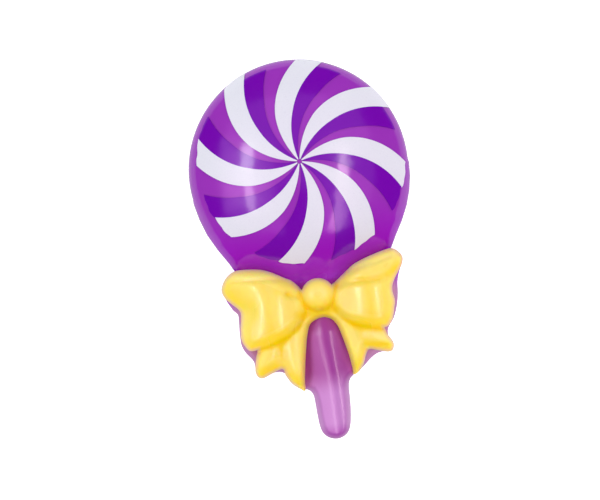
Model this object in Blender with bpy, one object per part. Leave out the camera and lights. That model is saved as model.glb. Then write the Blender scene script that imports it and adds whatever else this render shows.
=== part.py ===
"""A moulded resin lollipop charm that lies on its flat back with the shown side up.

One purple casting makes the domed disc, the neck, the back plate and the stick. A yellow
bow sits in a pocket of it. A pinwheel of white and dark arms is printed on the dome.

Metres, +Z up, +Y from the stick to the top of the disc. The origin is under the middle of
the part, on the surface that it lies on. The sizes below are in millimetres.
"""

import math

import bmesh
import bpy
import numpy as np
from mathutils import Vector
from mathutils.geometry import delaunay_2d_cdt

MM = 0.001

# The whole part
DISC_CENTRE_Y = 8.1
GAP = 0.1
CUTTER_TOP = 12.0
OUTLINE_STEP = 0.4
CLEAR_OF_OUTLINE = 0.4
NET_TOLERANCE = 0.0001
FLAT_ANGLE = 0.001

# Disc: a turned casting with a drafted wall, a round shoulder and a shallow dome
DISC_RADIUS = 11.0
DISC_BACK_RADIUS = 10.85
WALL_FOOT = 0.3
WALL_TOP_RADIUS = 10.93
DOME_EDGE_RADIUS = 10.1
DOME_BALL_RADIUS = 16.0
DOME_TOP = 6.8
DOME_EDGE_SLOPE = math.asin(DOME_EDGE_RADIUS / DOME_BALL_RADIUS)
SHOULDER_RADIUS = (WALL_TOP_RADIUS - DOME_EDGE_RADIUS) / (1.0 - math.sin(DOME_EDGE_SLOPE))
SHOULDER_CENTRE_RADIUS = WALL_TOP_RADIUS - SHOULDER_RADIUS
DISC_SEGMENTS = 96
DOME_RINGS = 9
SHOULDER_RINGS = 4

# Back plate, neck and stick: one relief that runs down from the disc
PLATE_TOP = 2.2
NECK_SIDE = 1.4
NECK_EDGE = 0.9
NECK_TOP = 3.15
NECK_FLOOR = 2.5
NECK_FALL_START = 10.05
NECK_FALL = 0.75
STICK_SIDE = 1.45
STICK_EDGE = 1.0
STICK_TOP = 3.25
RIDGE_START = (0.32, -16.3)
RIDGE_END = (0.56, -21.5)
RIDGE_BEND = 0.5
RIDGE_SLOPE = 0.45
BACKING_STEP = 0.5

# Bow: two loops, two tails and a knot, moulded as one relief
BOW_BACK = PLATE_TOP + GAP
LOOP_SIDE = 2.8
LOOP_CROWN = 1.0
LOOP_EDGE = 1.1
LOOP_MIDDLES = [(-4.85, -14.1), (5.1, -13.7)]
LOOP_PUFF_RISE = 1.9
LOOP_PUFF_SIZES = [(2.4, 4.0), (2.2, 3.8)]
TAIL_SIDE = 2.8
TAIL_CROWN = 1.0
TAIL_EDGE = 0.9
KNOT_SIDE = 4.2
KNOT_CROWN = 1.15
KNOT_CENTRE = (0.12, -12.6)
KNOT_HALF_SIZE = (1.65, 1.58)
KNOT_POINTS = 28
FOLD_SOFTNESS = 0.16
BOW_STEP = 0.4

# Print: eight swirled white arms, each with a dark arm on its clockwise side
ARMS = 8
HUB = (0.2, 0.65)
PRINT_CENTRE = (0.41, 0.9)
PRINT_RADIUS = 10.35
PRINT_REACH_ON_DISC = 10.5
ARM_START = 0.45
ARM_TURN = (26.3, -2.74, -0.116)
WHITE_HALF_ANGLE = 10.25
WHITE_TAPER_FROM = 5.0
WHITE_TAPER = 0.575
DARK_FAR_ANGLE = 24.7
DARK_TAPER_FROM = 7.0
DARK_TAPER = 1.0
ARM_SEAM = 0.6
INK_CLEARANCE = 0.04
INK_THICKNESS = 0.1
ARM_ROWS = 14
ARM_COLUMNS = 3

# Outlines, as points from the disc's centre that a smooth curve passes through
PLATE_OUTLINE = [
    (6.0, -9.6), (7.3, -9.3), (8.05, -9.28), (8.58, -9.68), (8.86, -10.2), (8.78, -10.9),
    (8.45, -11.6), (8.17, -12.5), (8.05, -13.6), (7.78, -14.8), (7.3, -16.0), (6.6, -16.95),
    (6.5, -17.7), (6.75, -18.6), (6.3, -19.15), (5.3, -19.25), (4.5, -19.65), (3.4, -20.55),
    (2.5, -21.05), (0.0, -21.4), (-2.45, -21.85), (-3.5, -21.25), (-4.3, -19.95), (-5.3, -19.75),
    (-6.5, -20.1), (-7.1, -19.6), (-7.12, -18.7), (-7.25, -18.2), (-7.84, -17.38),
    (-8.13, -16.7), (-8.18, -16.1), (-8.15, -15.2), (-8.07, -14.2), (-8.07, -13.5),
    (-8.46, -13.05), (-8.64, -12.7), (-8.97, -12.05), (-9.22, -11.0), (-9.05, -10.45),
    (-8.6, -9.8), (-7.9, -9.33), (-7.0, -9.28), (-6.0, -9.4),
    (-4.0, -11.2), (-2.0, -12.3), (0.0, -12.6), (2.0, -12.3), (4.0, -11.3),
]
NECK_OUTLINE = [
    (10.93, 0.0), (11.05, -0.9), (10.97, -2.2), (10.68, -3.66), (10.2, -5.11), (9.52, -6.53),
    (8.69, -7.92), (8.1, -9.0), (6.5, -11.0), (3.0, -13.0), (-3.0, -13.0), (-6.5, -11.0),
    (-7.92, -8.95), (-8.15, -8.48), (-9.17, -6.81), (-10.0, -5.18), (-10.53, -3.58),
    (-10.87, -2.0), (-10.9, -0.9),
]
STICK_OUTLINE = [
    (1.75, -13.5), (2.3, -15.2), (2.9, -17.0), (3.15, -18.6), (3.1, -20.0), (2.62, -20.95),
    (2.1, -21.45), (1.87, -22.2), (1.8, -23.5), (1.72, -24.5), (1.58, -25.5), (1.43, -26.1),
    (1.2, -26.6), (0.72, -27.02), (0.0, -27.2), (-0.72, -27.02), (-1.24, -26.6),
    (-1.48, -26.1), (-1.6, -25.5), (-1.66, -24.5), (-1.69, -23.5), (-1.75, -22.6),
    (-2.0, -22.1), (-2.6, -21.55), (-3.1, -20.0), (-3.1, -18.6), (-2.8, -17.0), (-2.2, -15.2),
    (-1.75, -13.5),
]
LEFT_LOOP_OUTLINE = [
    (-1.4, -12.0), (-2.2, -11.0), (-3.0, -10.5), (-4.0, -9.9), (-5.0, -9.45), (-6.0, -9.25),
    (-7.0, -9.15), (-7.9, -9.2), (-8.7, -9.7), (-9.2, -10.4), (-9.35, -11.0), (-9.1, -11.7),
    (-8.6, -12.3), (-8.0, -12.9), (-7.75, -13.4), (-7.85, -14.2), (-8.0, -15.0), (-8.05, -16.0),
    (-7.8, -16.7), (-7.3, -17.25), (-6.2, -17.15), (-4.5, -16.75), (-3.0, -16.2), (-1.7, -15.3),
    (-1.0, -14.3), (-1.0, -13.0),
]
RIGHT_LOOP_OUTLINE = [
    (1.5, -12.0), (2.2, -11.5), (3.0, -10.9), (4.0, -10.2), (5.0, -9.8), (6.0, -9.5),
    (7.3, -9.2), (8.1, -9.15), (8.7, -9.6), (9.0, -10.2), (8.8, -10.9), (8.3, -11.6),
    (7.75, -12.4), (7.5, -13.2), (7.6, -14.3), (7.45, -15.0), (7.15, -16.0), (6.7, -16.6),
    (6.2, -16.8), (5.0, -16.6), (3.8, -16.3), (2.5, -15.8), (1.6, -15.1), (1.0, -14.3),
    (1.0, -13.0),
]
TAILS_OUTLINE = [
    (-6.0, -15.0), (-6.6, -17.2), (-6.85, -17.9), (-7.0, -18.5), (-7.15, -19.3), (-7.0, -19.9),
    (-6.5, -20.15), (-5.5, -19.8), (-4.45, -19.5), (-4.2, -20.2), (-3.7, -21.1), (-3.0, -21.7),
    (-2.5, -21.95), (-2.4, -21.0), (-2.15, -19.5), (-1.85, -18.0), (-1.5, -16.5), (-1.0, -15.4),
    (0.1, -15.0), (1.0, -15.2), (1.6, -16.0), (2.0, -17.5), (2.3, -19.0), (2.45, -20.3),
    (2.5, -21.05), (3.1, -20.8), (3.6, -20.2), (4.0, -19.3), (4.4, -18.8), (5.2, -19.0),
    (6.2, -19.3), (6.7, -19.2), (6.9, -18.7), (6.8, -18.2), (6.4, -17.5), (6.2, -16.9),
    (5.5, -15.0), (0.0, -13.0),
]

# Folds of the bow, each a line with its half width and its rise (a crease is negative)
BOW_FOLDS = [
    ([(-8.1, -10.2), (-5.5, -10.35), (-3.1, -10.65), (-1.7, -11.5)], 0.25, -0.2),
    ([(-9.0, -11.3), (-8.2, -12.3), (-7.6, -13.1)], 1.3, -0.55),
    ([(-1.8, -12.6), (-2.7, -12.2)], 0.35, -0.25),
    ([(2.9, -10.85), (5.0, -10.4), (6.2, -10.25), (7.7, -9.9)], 0.25, -0.2),
    ([(1.9, -12.0), (3.6, -11.8), (5.6, -11.9), (7.2, -11.9), (8.1, -11.5)], 0.35, -0.25),
    ([(-5.6, -17.6), (-6.3, -19.0)], 0.8, 0.2),
    ([(-2.9, -16.6), (-3.0, -20.2)], 0.8, 0.25),
    ([(-4.3, -17.8), (-4.35, -19.4)], 0.5, -0.2),
    ([(4.6, -17.3), (6.3, -17.9)], 0.7, 0.25),
    ([(4.1, -18.2), (6.1, -18.6)], 0.3, -0.15),
    ([(2.3, -16.4), (2.9, -19.4)], 0.8, 0.25),
    ([(-1.9, -14.5), (0.0, -14.8), (1.6, -14.4)], 0.45, -0.15),
    ([(-6.7, -19.9), (-5.1, -19.5)], 0.7, -0.4),
    ([(-3.9, -20.9), (-2.8, -21.7)], 0.9, -0.4),
    ([(4.3, -18.9), (6.6, -19.1)], 0.5, -0.35),
    ([(2.6, -20.8), (3.5, -20.4)], 0.9, -0.4),
]

# Finishes: linear colour, roughness
PURPLE_RESIN = ((0.28, 0.02, 0.40, 1.0), 0.22)
YELLOW_RESIN = ((0.95, 0.65, 0.12, 1.0), 0.35)
WHITE_INK = ((0.78, 0.76, 0.84, 1.0), 0.3)
DARK_INK = ((0.13, 0.004, 0.38, 1.0), 0.3)


def clear_scene():
    for thing in list(bpy.data.objects):
        bpy.data.objects.remove(thing, do_unlink=True)


def material(name, finish):
    """A painted or moulded finish from its colour and roughness."""
    colour, roughness = finish
    made = bpy.data.materials.new(name)
    made.use_nodes = True
    shader = made.node_tree.nodes["Principled BSDF"]
    shader.inputs["Base Color"].default_value = colour
    shader.inputs["Roughness"].default_value = roughness
    shader.inputs["Metallic"].default_value = 0.0
    made.diffuse_color = colour
    return made


def object_from(name, mesh_builder):
    """A linked object that owns the bmesh, which is freed."""
    mesh = bpy.data.meshes.new(name)
    mesh_builder.to_mesh(mesh)
    mesh_builder.free()
    made = bpy.data.objects.new(name, mesh)
    bpy.context.collection.objects.link(made)
    return made


def combine(target, helpers, operation):
    """Joins or cuts the target with the helpers by a Boolean, applies it and removes them."""
    group = bpy.data.collections.new(target.name + "_helpers")
    for helper in helpers:
        group.objects.link(helper)
    boolean = target.modifiers.new(operation.lower(), "BOOLEAN")
    boolean.operation = operation
    boolean.solver = "EXACT"
    boolean.operand_type = "COLLECTION"
    boolean.collection = group
    graph = bpy.context.evaluated_depsgraph_get()
    result = bpy.data.meshes.new_from_object(target.evaluated_get(graph))
    target.modifiers.clear()
    target.data = result
    for helper in helpers:
        bpy.data.objects.remove(helper, do_unlink=True)
    bpy.data.collections.remove(group)


def straight_outline(points, spacing):
    """The closed outline with straight sides, divided so that no step is over the spacing."""
    outline = []
    for start, end in zip(points, points[1:] + points[:1]):
        steps = max(1, math.ceil(math.dist(start, end) / spacing))
        share = np.arange(steps)[:, None] / steps
        outline.append(np.array(start) + share * np.subtract(end, start))
    return np.vstack(outline)


def smooth_outline(points, spacing):
    """A closed Catmull-Rom curve through the points, with steps of about the spacing."""
    outline = []
    count = len(points)
    for index in range(count):
        before, start, end, beyond = (
            np.array(points[(index + offset) % count]) for offset in (-1, 0, 1, 2)
        )
        steps = max(1, round(math.dist(start, end) / spacing))
        t = np.arange(steps)[:, None] / steps
        outline.append(
            start
            + 0.5 * (end - before) * t
            + 0.5 * (2 * before - 5 * start + 4 * end - beyond) * t**2
            + 0.5 * (3 * start - before - 3 * end + beyond) * t**3
        )
    return np.vstack(outline)


def distance_to_line(places, line):
    """How far each place is from a line of points."""
    nearest = np.full(len(places), np.inf)
    for start, end in zip(line[:-1], line[1:]):
        along = end - start
        share = np.clip((places - start) @ along / (along @ along), 0.0, 1.0)
        foot = start + share[:, None] * along
        nearest = np.minimum(nearest, np.linalg.norm(places - foot, axis=1))
    return nearest


def depth_inside(places, outline):
    """The distance of each place to the outline, negative outside it."""
    closed = np.vstack([outline, outline[:1]])
    distance = distance_to_line(places, closed)
    inside = np.zeros(len(places), bool)
    for (x0, y0), (x1, y1) in zip(closed[:-1], closed[1:]):
        spans = (y0 > places[:, 1]) != (y1 > places[:, 1])
        if spans.any():
            crossing = x0 + (places[:, 1] - y0) * (x1 - x0) / (y1 - y0)
            inside ^= spans & (places[:, 0] < crossing)
    return np.where(inside, distance, -distance)


def grown(outline, margin):
    """The outline moved outwards by the margin."""
    before = np.roll(outline, 1, axis=0)
    after = np.roll(outline, -1, axis=0)
    along = after - before
    along /= np.linalg.norm(along, axis=1)[:, None]
    outward = np.stack([along[:, 1], -along[:, 0]], axis=1)
    turn = np.sum(outline[:, 0] * after[:, 1] - after[:, 0] * outline[:, 1])
    return outline + math.copysign(margin, turn) * outward


def prism(name, outline, low, high):
    """A straight block with this outline, from one height to another."""
    mesh = bmesh.new()
    foot = [mesh.verts.new((x, y + DISC_CENTRE_Y, low)) for x, y in outline]
    base = mesh.faces.new(foot)
    grown_part = bmesh.ops.extrude_face_region(mesh, geom=[base])
    lifted = [item for item in grown_part["geom"] if isinstance(item, bmesh.types.BMVert)]
    bmesh.ops.translate(mesh, verts=lifted, vec=(0.0, 0.0, high - low))
    bmesh.ops.recalc_face_normals(mesh, faces=mesh.faces)
    bmesh.ops.scale(mesh, vec=(MM, MM, MM), verts=mesh.verts)
    return object_from(name, mesh)


def net_points(outlines, step):
    """Points for a face inside the outlines: the outlines, and staggered rows between them."""
    low = np.min(np.vstack(outlines), axis=0)
    high = np.max(np.vstack(outlines), axis=0)
    row_gap = step * math.sqrt(0.75)
    rows = []
    for row, y in enumerate(np.arange(low[1], high[1], row_gap)):
        x = np.arange(low[0] + step * 0.5 * (row % 2), high[0], step)
        rows.append(np.stack([x, np.full(len(x), y)], axis=1))
    field = np.vstack(rows)
    depths = np.stack([depth_inside(field, outline) for outline in outlines])
    clear = np.abs(depths).min(axis=0) > CLEAR_OF_OUTLINE * step
    inside = depths.max(axis=0) > 0.0
    return np.vstack([*outlines, field[clear & inside]])


def relief(name, outlines, height, back, step):
    """A casting with a flat back: a net of triangles inside the outlines, raised by a rule."""
    loops = []
    for outline in outlines:
        start = sum(len(loop) for loop in loops)
        loops.append(list(range(start, start + len(outline))))
    points = [Vector(point) for point in net_points(outlines, step)]
    inside_only = 1
    places, _, triangles, *_ = delaunay_2d_cdt(points, [], loops, inside_only, NET_TOLERANCE)
    places = np.array(places)
    mesh = bmesh.new()
    upper = [mesh.verts.new((*place, z)) for place, z in zip(places, height(places))]
    lower = [mesh.verts.new((*place, back)) for place in places]
    for triangle in triangles:
        mesh.faces.new([upper[index] for index in triangle])
        mesh.faces.new([lower[index] for index in reversed(triangle)])
    for edge in [edge for edge in mesh.edges if edge.is_boundary and edge.verts[0].co.z > back]:
        ends = [edge.verts[0], edge.verts[1]]
        feet = [lower[upper.index(vert)] for vert in ends]
        mesh.faces.new((*ends, *reversed(feet)))
    loose = [vert for vert in mesh.verts if not vert.link_faces]
    bmesh.ops.delete(mesh, geom=loose, context="VERTS")
    flat = [edge for edge in mesh.edges if max(vert.co.z for vert in edge.verts) <= back]
    bmesh.ops.dissolve_limit(mesh, angle_limit=FLAT_ANGLE, verts=[], edges=flat)
    bmesh.ops.recalc_face_normals(mesh, faces=mesh.faces)
    bmesh.ops.translate(mesh, verts=mesh.verts, vec=(0.0, DISC_CENTRE_Y, 0.0))
    bmesh.ops.scale(mesh, vec=(MM, MM, MM), verts=mesh.verts)
    return object_from(name, mesh)


def pillow(depth, side, crown, edge):
    """The height of a moulded pillow: its side, then a crown that is full past the edge."""
    share = np.minimum(depth / edge, 1.0)
    return side + crown * (2.0 * share - share**2)


def bead(out, side, crown):
    """The height of a round bead or bar: out is 0 at its middle and 1 at its edge."""
    return side + crown * (1.0 - (out**2 + out**6) / 2.0)


def soft_highest(heights, softness):
    """The highest of some heights, with a small fillet where they cross."""
    stack = np.stack(heights)
    peak = stack.max(axis=0)
    return peak + softness * np.log(np.exp((stack - peak) / softness).sum(axis=0))


def dome_height(radius):
    """The height of the disc's shown face at a radius from its centre."""
    ball_centre = DOME_TOP - DOME_BALL_RADIUS
    dome = ball_centre + np.sqrt(DOME_BALL_RADIUS**2 - np.minimum(radius, DOME_EDGE_RADIUS) ** 2)
    drop = (DOME_BALL_RADIUS - SHOULDER_RADIUS) * math.cos(DOME_EDGE_SLOPE)
    run = np.clip(radius - SHOULDER_CENTRE_RADIUS, 0.0, SHOULDER_RADIUS)
    shoulder = ball_centre + drop + np.sqrt(SHOULDER_RADIUS**2 - run**2)
    return np.where(radius <= DOME_EDGE_RADIUS, dome, shoulder)


def disc():
    """The turned disc: flat back, drafted wall, round shoulder and dome."""
    profile = [(0.0, 0.0), (DISC_BACK_RADIUS, 0.0), (DISC_RADIUS, WALL_FOOT)]
    for ring in range(SHOULDER_RINGS):
        angle = math.pi / 2 - (math.pi / 2 - DOME_EDGE_SLOPE) * ring / SHOULDER_RINGS
        radius = SHOULDER_CENTRE_RADIUS + SHOULDER_RADIUS * math.sin(angle)
        profile.append((radius, float(dome_height(np.array(radius)))))
    for ring in range(DOME_RINGS + 1):
        radius = DOME_EDGE_RADIUS * (1 - ring / DOME_RINGS)
        profile.append((radius, float(dome_height(np.array(radius)))))
    mesh = bmesh.new()
    verts = [mesh.verts.new((x, 0.0, z)) for x, z in profile]
    edges = [mesh.edges.new(pair) for pair in zip(verts[:-1], verts[1:])]
    bmesh.ops.spin(
        mesh,
        geom=verts + edges,
        cent=(0.0, 0.0, 0.0),
        axis=(0.0, 0.0, 1.0),
        angle=math.tau,
        steps=DISC_SEGMENTS,
        use_duplicate=False,
    )
    bmesh.ops.remove_doubles(mesh, verts=mesh.verts, dist=0.001)
    bmesh.ops.recalc_face_normals(mesh, faces=mesh.faces)
    bmesh.ops.translate(mesh, verts=mesh.verts, vec=(0.0, DISC_CENTRE_Y, 0.0))
    bmesh.ops.scale(mesh, vec=(MM, MM, MM), verts=mesh.verts)
    return object_from("resin_body", mesh)


def neck_height(places):
    """The neck: it falls away from the dome's edge to a flat floor in front of the bow."""
    radius = np.linalg.norm(places, axis=1)
    top = np.clip(NECK_TOP - NECK_FALL * (radius - NECK_FALL_START), NECK_FLOOR, NECK_TOP)
    return pillow(depth_inside(places, np.array(NECK_OUTLINE)), NECK_SIDE, top - NECK_SIDE, NECK_EDGE)


def stick_height(places):
    """The stick: a bar with round edges whose top rises to a soft ridge along it."""
    x, y = places.T
    ridge = np.interp(y, [RIDGE_END[1], RIDGE_START[1]], [RIDGE_END[0], RIDGE_START[0]])
    top = STICK_TOP - RIDGE_SLOPE * (np.hypot(x - ridge, RIDGE_BEND) - RIDGE_BEND)
    crown = np.maximum(top - STICK_SIDE, 0.0)
    depth = depth_inside(places, smooth_outline(STICK_OUTLINE, OUTLINE_STEP))
    return pillow(depth, STICK_SIDE, crown, STICK_EDGE)


def backing_height(places):
    """The shown face of the neck, the back plate and the stick."""
    plate_depth = depth_inside(places, smooth_outline(PLATE_OUTLINE, OUTLINE_STEP))
    plate = np.where(plate_depth > -NET_TOLERANCE, PLATE_TOP, 0.0)
    return np.maximum.reduce([plate, neck_height(places), stick_height(places)])


def fold_rise(places):
    """How much the folds raise or lower the bow's face."""
    rise = np.zeros(len(places))
    for line, half_width, height in BOW_FOLDS:
        distance = distance_to_line(places, np.array(line))
        rise += height * np.exp(-((distance / half_width) ** 2))
    return rise


def knot_outline():
    turn = np.arange(KNOT_POINTS) * math.tau / KNOT_POINTS
    around = np.stack([np.cos(turn), np.sin(turn)], axis=1)
    return np.array(KNOT_CENTRE) + around * KNOT_HALF_SIZE


def bow_outlines():
    lists = (LEFT_LOOP_OUTLINE, RIGHT_LOOP_OUTLINE, TAILS_OUTLINE)
    return [smooth_outline(points, OUTLINE_STEP) for points in lists] + [knot_outline()]


def bow_height(places):
    """The shown face of the bow: loops over the tails, and the knot over both."""
    left, right, tails = (depth_inside(places, edge) for edge in bow_outlines()[:3])
    folds = fold_rise(places)
    loops = []
    for depth, middle, size in zip((left, right), LOOP_MIDDLES, LOOP_PUFF_SIZES):
        off = (places - middle) / size
        puff = LOOP_PUFF_RISE * np.exp(-np.sum(off**2, axis=1) / 2.0)
        loops.append(pillow(depth, LOOP_SIDE, LOOP_CROWN, LOOP_EDGE) + puff + folds)
    tail = pillow(tails, TAIL_SIDE, TAIL_CROWN, TAIL_EDGE) + folds
    out = np.linalg.norm((places - KNOT_CENTRE) / KNOT_HALF_SIZE, axis=1)
    knot = bead(out.clip(0.0, 1.3), KNOT_SIDE, KNOT_CROWN)
    return soft_highest([*loops, tail, knot], FOLD_SOFTNESS)


def reach(angle, centre, radius):
    """How far from the hub a circle is met along this angle."""
    away = np.array(centre) - np.array(HUB)
    ahead = away @ np.array((math.cos(angle), math.sin(angle)))
    return ahead + math.sqrt(radius**2 - away @ away + ahead**2)


def arm_edge(arm, offset, share):
    """A point on an arm's long edge: offset gives its angle from the centre line at a radius."""

    def angle_at(radius):
        turn = ARM_TURN[0] + ARM_TURN[1] * radius + ARM_TURN[2] * radius**2
        return math.radians(turn + offset(radius) + 360.0 * arm / ARMS)

    end = PRINT_RADIUS
    for _ in range(3):
        on_print = reach(angle_at(end), PRINT_CENTRE, PRINT_RADIUS)
        on_disc = reach(angle_at(end), (0.0, 0.0), PRINT_REACH_ON_DISC)
        end = min(on_print, on_disc)
    radius = ARM_START + share * (end - ARM_START)
    angle = angle_at(radius)
    return np.array((HUB[0] + radius * math.cos(angle), HUB[1] + radius * math.sin(angle)))


def white_half_angle(radius):
    return WHITE_HALF_ANGLE - WHITE_TAPER * max(0.0, radius - WHITE_TAPER_FROM)


def dark_far_angle(radius):
    return DARK_TAPER * max(0.0, radius - DARK_TAPER_FROM) - DARK_FAR_ANGLE


def printed_arm(name, arm, right_edge, left_edge):
    """A thin skin of ink on the dome between two long edges of an arm."""
    mesh = bmesh.new()
    layers = []
    for lift in (INK_CLEARANCE, INK_CLEARANCE + INK_THICKNESS):
        grid = []
        for row in range(ARM_ROWS + 1):
            along = row / ARM_ROWS
            share = along * (3.0 - along) / 2.0
            right = arm_edge(arm, right_edge, share)
            left = arm_edge(arm, left_edge, share)
            line = []
            for column in range(ARM_COLUMNS + 1):
                x, y = right + (left - right) * column / ARM_COLUMNS
                z = float(dome_height(np.array(math.hypot(x, y)))) + lift
                line.append(mesh.verts.new((x, y, z)))
            grid.append(line)
        layers.append(grid)
    lower, upper = layers
    for row in range(ARM_ROWS):
        for column in range(ARM_COLUMNS):
            for grid in layers:
                near = grid[row][column : column + 2]
                far = grid[row + 1][column : column + 2]
                mesh.faces.new((near[0], near[1], far[1]))
                mesh.faces.new((near[0], far[1], far[0]))
    rim = [(row, 0) for row in range(ARM_ROWS)]
    rim += [(ARM_ROWS, column) for column in range(ARM_COLUMNS)]
    rim += [(row, ARM_COLUMNS) for row in range(ARM_ROWS, 0, -1)]
    rim += [(0, column) for column in range(ARM_COLUMNS, 0, -1)]
    for (row, column), (next_row, next_column) in zip(rim, rim[1:] + rim[:1]):
        mesh.faces.new(
            (
                lower[row][column],
                lower[next_row][next_column],
                upper[next_row][next_column],
                upper[row][column],
            )
        )
    bmesh.ops.recalc_face_normals(mesh, faces=mesh.faces)
    bmesh.ops.translate(mesh, verts=mesh.verts, vec=(0.0, DISC_CENTRE_Y, 0.0))
    bmesh.ops.scale(mesh, vec=(MM, MM, MM), verts=mesh.verts)
    return object_from(name, mesh)


def finish(part, coat):
    """Gives the part its material and smooth shading with creases kept."""
    part.data.materials.clear()
    part.data.materials.append(coat)
    part.data.shade_smooth()
    part.data.set_sharp_from_angle(angle=math.radians(40.0))


def make_body(coat):
    body = disc()
    plate = smooth_outline(PLATE_OUTLINE, OUTLINE_STEP)
    stick = smooth_outline(STICK_OUTLINE, OUTLINE_STEP)
    outlines = [plate, straight_outline(NECK_OUTLINE, OUTLINE_STEP), stick]
    backing = relief("backing", outlines, backing_height, 0.0, BACKING_STEP)
    combine(body, [backing], "UNION")
    pocket = [
        prism("pocket", grown(outline, GAP), PLATE_TOP, CUTTER_TOP) for outline in bow_outlines()
    ]
    combine(pocket[0], pocket[1:], "UNION")
    combine(body, pocket[:1], "DIFFERENCE")
    finish(body, coat)


def make_bow(coat):
    bow = relief("bow", bow_outlines(), bow_height, BOW_BACK, BOW_STEP)
    finish(bow, coat)


def make_print(white, dark):
    for arm in range(ARMS):
        printed = printed_arm(
            f"white_arm_{arm + 1}",
            arm,
            lambda radius: -white_half_angle(radius),
            white_half_angle,
        )
        finish(printed, white)
        printed = printed_arm(
            f"dark_arm_{arm + 1}",
            arm,
            dark_far_angle,
            lambda radius: -white_half_angle(radius) - ARM_SEAM,
        )
        finish(printed, dark)


clear_scene()
make_body(material("purple_resin", PURPLE_RESIN))
make_bow(material("yellow_resin", YELLOW_RESIN))
make_print(material("white_ink", WHITE_INK), material("dark_ink", DARK_INK))
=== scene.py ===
"""A moulded resin lollipop charm on its flat back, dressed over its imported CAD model.

The file follows the charm as it is put together: the purple casting, the printed pinwheel,
the yellow bow, and then the table and the lights that it is seen with. Places on the charm are
millimetres from the middle of the disc, +y to the disc's top, and z is up from the table.
"""

import math

import bpy
import numpy as np
from mathutils import Matrix, Vector
from mathutils.geometry import delaunay_2d_cdt


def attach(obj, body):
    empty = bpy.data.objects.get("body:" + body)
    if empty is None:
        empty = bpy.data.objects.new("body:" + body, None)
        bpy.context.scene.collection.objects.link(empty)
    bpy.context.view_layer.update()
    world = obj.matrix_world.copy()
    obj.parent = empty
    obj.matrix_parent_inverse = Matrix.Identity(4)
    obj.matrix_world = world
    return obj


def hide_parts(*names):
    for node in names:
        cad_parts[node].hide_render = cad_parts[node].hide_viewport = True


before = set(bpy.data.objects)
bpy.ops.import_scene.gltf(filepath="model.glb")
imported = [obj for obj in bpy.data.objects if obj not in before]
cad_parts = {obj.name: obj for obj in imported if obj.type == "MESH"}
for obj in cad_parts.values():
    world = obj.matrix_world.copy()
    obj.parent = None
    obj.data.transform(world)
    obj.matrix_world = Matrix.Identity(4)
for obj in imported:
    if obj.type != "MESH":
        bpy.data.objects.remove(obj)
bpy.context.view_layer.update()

# ---------------------------------------------------------------------------
# The purple casting. The real one is a single pour of violet resin in a soft mould: a domed
# disc whose wall runs straight on into the neck, a thin plate behind the bow and a round
# stick. The resin is glossy, and it lets light through where only the stick is left.
MM = 0.001
DISC_MIDDLE = 8.1
WALL_RADIUS = 10.98
DOME_RADIUS = 10.1
BALL_RADIUS = 16.0
BALL_REACH = 15.0
DOME_TOP = 6.8
DOME_SLOPE = math.asin(DOME_RADIUS / BALL_RADIUS)
SHOULDER = (WALL_RADIUS - DOME_RADIUS) / (1.0 - math.sin(DOME_SLOPE))
SHOULDER_FOOT = DOME_TOP - BALL_RADIUS + (BALL_RADIUS - SHOULDER) * math.cos(DOME_SLOPE)
WALL_FALL = 6.0
DISC_RING_STEP = 0.3
SHOULDER_RINGS = 9
PLATE_SIDE = 2.05
PLATE_ROUND = 0.35
PLATE_EDGE = 0.4
PLATE_DIP = 0.35
PLATE_DIP_SIDE = (3.4, 2.8)
PLATE_DIP_END = (-13.0, -15.0)
NECK_TOP = (1.7, 2.3)
NECK_RISE = (-10.2, -11.4)
NECK_FILLET = 1.6
LEAST_FILLET = 0.001
NECK_START = (-4.4, -7.0)
STICK_SIDE = 1.45
STICK_ROUND = 0.6
STICK_TOP = 3.25
RIDGE_PLACE = (0.32, 0.56)
RIDGE_BEND = (0.52, 0.42)
RIDGE_SLOPE = 0.45
RIDGE_RUN = (-16.3, -21.5)
RIDGE_DIP_START = -16.4
RIDGE_DIP_SLOPE = 0.3
RIDGE_DIP_SOFTNESS = 0.4
STICK_TOP_END = -13.0
STICK_OUTLINE = [
    (1.75, -13.5), (2.3, -15.2), (2.9, -17.0), (3.15, -18.6), (3.1, -20.0), (2.62, -20.95),
    (2.1, -21.45), (1.87, -22.2), (1.8, -23.5), (1.72, -24.5), (1.58, -25.5), (1.43, -26.1),
    (1.2, -26.6), (0.72, -27.02), (0.0, -27.2), (-0.72, -27.02), (-1.24, -26.6),
    (-1.48, -26.1), (-1.6, -25.5), (-1.66, -24.5), (-1.69, -23.5), (-1.75, -22.6),
    (-2.0, -22.1), (-2.6, -21.55), (-3.1, -20.0), (-3.1, -18.6), (-2.8, -17.0), (-2.2, -15.2),
    (-1.75, -13.5),
]
NECK_OUTLINE = [
    (10.93, 0.0), (11.05, -0.9), (10.97, -2.2), (10.68, -3.66), (10.2, -5.11), (9.52, -6.53),
    (8.69, -7.92), (8.1, -9.0), (6.5, -11.0), (3.0, -13.0), (-3.0, -13.0), (-6.5, -11.0),
    (-7.92, -8.95), (-8.15, -8.48), (-9.17, -6.81), (-10.0, -5.18), (-10.53, -3.58),
    (-10.87, -2.0), (-10.9, -0.9),
]
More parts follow.
